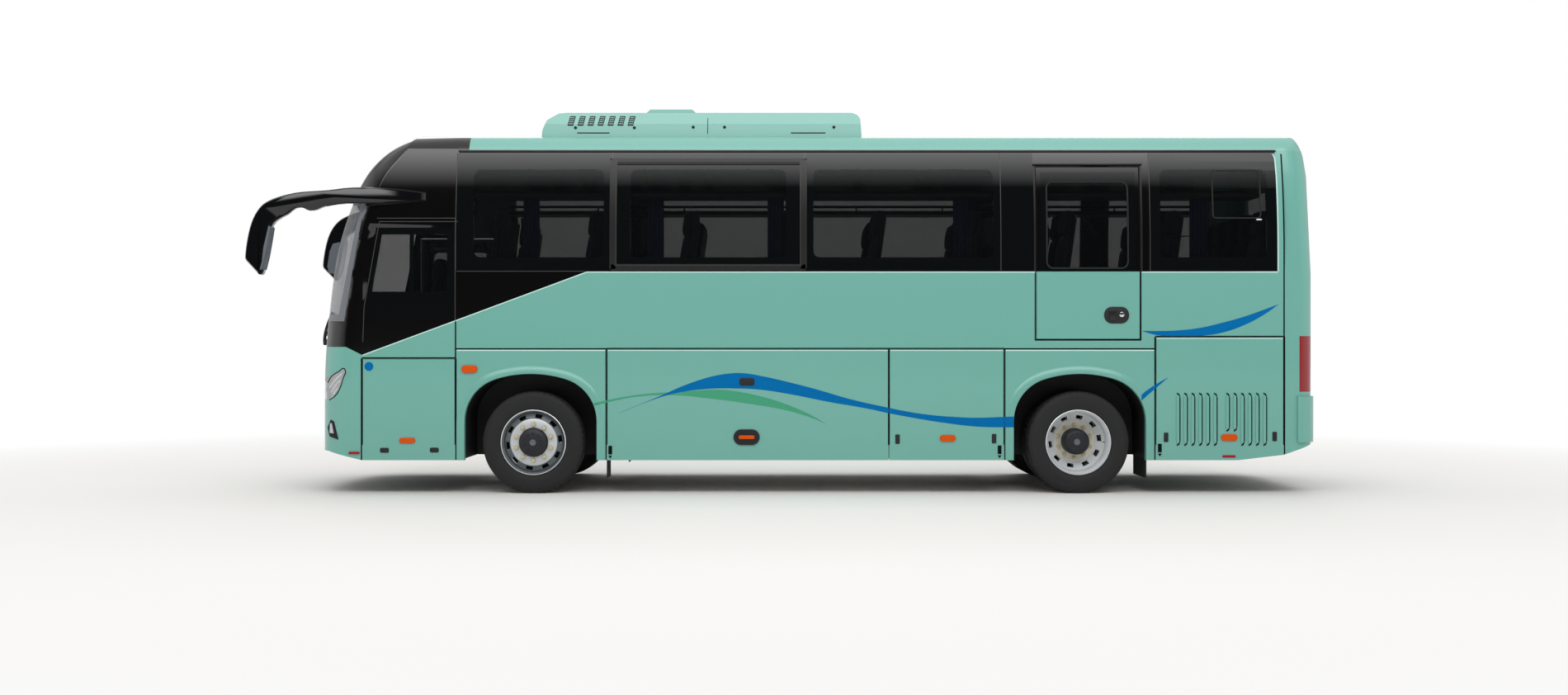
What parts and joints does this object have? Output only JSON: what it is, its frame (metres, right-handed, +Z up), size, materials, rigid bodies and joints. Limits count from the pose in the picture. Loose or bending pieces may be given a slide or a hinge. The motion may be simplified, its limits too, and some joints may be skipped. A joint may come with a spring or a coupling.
{
  "type": "high-floor touring coach",
  "caption": "High-floor passenger coach with dark glazing, luggage bay doors, roof air conditioner, swan-neck mirrors and a swinging entry door.",
  "frame": {"origin": "on the ground below the centre of the bounding box", "axes": "-X forward, +Y to the kerb side with the passenger door, +Z up"},
  "size_m": [9.7498, 2.96, 3.5488],
  "materials": {
    "body_paint": "glossy teal paint",
    "black_gloss": "glossy black paint",
    "tinted_glass": "dark tinted glass",
    "lamp_clear": "clear lamp lens",
    "lamp_red": "red lamp lens",
    "trim_plastic": "black moulded plastic",
    "black_steel": "black chassis paint",
    "cast_metal": "dark cast metal",
    "wheel_steel": "silver painted steel",
    "tyre_rubber": "matte rubber",
    "black_rubber": "matte rubber",
    "floor_covering": "grey vinyl floor",
    "bay_lining": "grey lining board",
    "seat_fabric": "dark woven upholstery"
  },
  "bodies": {
    "root": {"arch_panels": "body_paint", "wheel_housings": "black_steel", "left_side_wall": "body_paint", "right_side_wall": "body_paint", "side_windows": "tinted_glass", "roof": "body_paint", "front_panel": "body_paint", "front_lamps": "lamp_clear", "windscreen_surround": "black_gloss", "windscreen": "tinted_glass", "front_dome": "body_paint", "rear_panel": "body_paint", "rear_window": "tinted_glass", "tail_lamps": "lamp_red", "rear_bumper": "body_paint", "cabin_floor": "floor_covering", "entry_steps": "floor_covering", "chassis_frame": "black_steel", "luggage_bay": "bay_lining", "engine_block": "cast_metal", "mud_flaps": "black_rubber", "front_axle": "cast_metal", "rear_axle": "cast_metal", "air_springs": "black_rubber", "dashboard": "trim_plastic", "seats": "seat_fabric", "luggage_racks": "trim_plastic", "roof_air_conditioner": "body_paint", "mirrors": "trim_plastic", "wipers": "trim_plastic"},
    "left_knuckle": {"left_knuckle": "cast_metal"},
    "right_knuckle": {"right_knuckle": "cast_metal"},
    "tie_rod": {"tie_rod": "cast_metal"},
    "front_left_wheel": {"front_left_wheel": "wheel_steel", "front_left_tyre": "tyre_rubber"},
    "front_right_wheel": {"front_right_wheel": "wheel_steel", "front_right_tyre": "tyre_rubber"},
    "rear_left_wheels": {"rear_left_wheels": "wheel_steel", "rear_left_tyres": "tyre_rubber"},
    "rear_right_wheels": {"rear_right_wheels": "wheel_steel", "rear_right_tyres": "tyre_rubber"},
    "left_luggage_door_long": {"left_luggage_door_long": "body_paint"},
    "left_luggage_door_short": {"left_luggage_door_short": "body_paint"},
    "right_luggage_door_long": {"right_luggage_door_long": "body_paint"},
    "right_luggage_door_short": {"right_luggage_door_short": "body_paint"},
    "left_engine_flap": {"left_engine_flap": "body_paint"},
    "right_engine_flap": {"right_engine_flap": "body_paint"},
    "left_service_flap": {"left_service_flap": "body_paint"},
    "emergency_door": {"emergency_door": "black_gloss", "emergency_door_glass": "tinted_glass"},
    "passenger_door": {"passenger_door": "black_gloss", "passenger_door_glass": "tinted_glass"},
    "passenger_door_arms": {"passenger_door_arms": "black_steel"},
    "engine_door": {"engine_door": "body_paint"},
    "steering_wheel": {"steering_wheel": "trim_plastic"}
  },
  "joints": [
    {"name": "left_steering", "type": "hinge", "parent": "root", "child": "left_knuckle", "pos_m": [-2.33, -0.913, 0.465], "axis": [0, 0, 1], "range_deg": [-38, 38]},
    {"name": "right_steering", "type": "hinge", "parent": "root", "child": "right_knuckle", "pos_m": [-2.33, 0.913, 0.465], "axis": [0, 0, 1], "range_deg": [-38, 38]},
    {"name": "tie_rod_pivot", "type": "hinge", "parent": "left_knuckle", "child": "tie_rod", "pos_m": [-2.14, -0.913, 0.413], "axis": [0, 0, 1], "range_deg": [-38, 38]},
    {"name": "front_left_wheel_spin", "type": "hinge", "parent": "left_knuckle", "child": "front_left_wheel", "pos_m": [-2.33, -1.083, 0.465], "axis": [0, 1, 0], "continuous": true},
    {"name": "front_right_wheel_spin", "type": "hinge", "parent": "right_knuckle", "child": "front_right_wheel", "pos_m": [-2.33, 1.083, 0.465], "axis": [0, 1, 0], "continuous": true},
    {"name": "rear_left_wheels_spin", "type": "hinge", "parent": "root", "child": "rear_left_wheels", "pos_m": [2.64, -0.938, 0.465], "axis": [0, 1, 0], "continuous": true},
    {"name": "rear_right_wheels_spin", "type": "hinge", "parent": "root", "child": "rear_right_wheels", "pos_m": [2.64, 0.938, 0.465], "axis": [0, 1, 0], "continuous": true},
    {"name": "steering_wheel_turn", "type": "hinge", "parent": "root", "child": "steering_wheel", "pos_m": [-3.9, -0.65, 1.64], "axis": [0.5, 0, 0.866], "range_deg": [-646, 646]},
    {"name": "left_luggage_door_long_hinge", "type": "hinge", "parent": "root", "child": "left_luggage_door_long", "pos_m": [0, -1.24, 1.3174], "axis": [-1, 0, 0], "range_deg": [0, 85]},
    {"name": "left_luggage_door_short_hinge", "type": "hinge", "parent": "root", "child": "left_luggage_door_short", "pos_m": [0, -1.24, 1.3174], "axis": [-1, 0, 0], "range_deg": [0, 85]},
    {"name": "right_luggage_door_long_hinge", "type": "hinge", "parent": "root", "child": "right_luggage_door_long", "pos_m": [0, 1.24, 1.3174], "axis": [1, 0, 0], "range_deg": [0, 85]},
    {"name": "right_luggage_door_short_hinge", "type": "hinge", "parent": "root", "child": "right_luggage_door_short", "pos_m": [0, 1.24, 1.3174], "axis": [1, 0, 0], "range_deg": [0, 85]},
    {"name": "left_engine_flap_hinge", "type": "hinge", "parent": "root", "child": "left_engine_flap", "pos_m": [0, -1.24, 1.4264], "axis": [-1, 0, 0], "range_deg": [0, 85]},
    {"name": "right_engine_flap_hinge", "type": "hinge", "parent": "root", "child": "right_engine_flap", "pos_m": [0, 1.24, 1.4264], "axis": [1, 0, 0], "range_deg": [0, 85]},
    {"name": "left_service_flap_hinge", "type": "hinge", "parent": "root", "child": "left_service_flap", "pos_m": [0, -1.24, 1.2314], "axis": [-1, 0, 0], "range_deg": [0, 85]},
    {"name": "emergency_door_hinge", "type": "hinge", "parent": "root", "child": "emergency_door", "pos_m": [2.2446, -1.24, 2.19], "axis": [0, 0, -1], "range_deg": [0, 95]},
    {"name": "passenger_door_arm_hinge", "type": "hinge", "parent": "root", "child": "passenger_door_arms", "pos_m": [-3.82, 1.13, 1.4], "axis": [0, 0, 1], "range_deg": [0, 95]},
    {"name": "passenger_door_leaf_hinge", "type": "hinge", "parent": "passenger_door_arms", "child": "passenger_door", "pos_m": [-3.22, 1.13, 1.4], "axis": [0, 0, 1], "range_deg": [-95, 0]},
    {"name": "engine_door_hinge", "type": "hinge", "parent": "root", "child": "engine_door", "pos_m": [4.851, 0, 1.5994], "axis": [0, -1, 0], "range_deg": [0, 75]}
  ],
  "couplings": [
    {"joint": "right_steering", "follows": "left_steering", "ratio": 1},
    {"joint": "tie_rod_pivot", "follows": "left_steering", "ratio": -1},
    {"joint": "steering_wheel_turn", "follows": "left_steering", "ratio": 17},
    {"joint": "passenger_door_leaf_hinge", "follows": "passenger_door_arm_hinge", "ratio": -1}
  ]
}
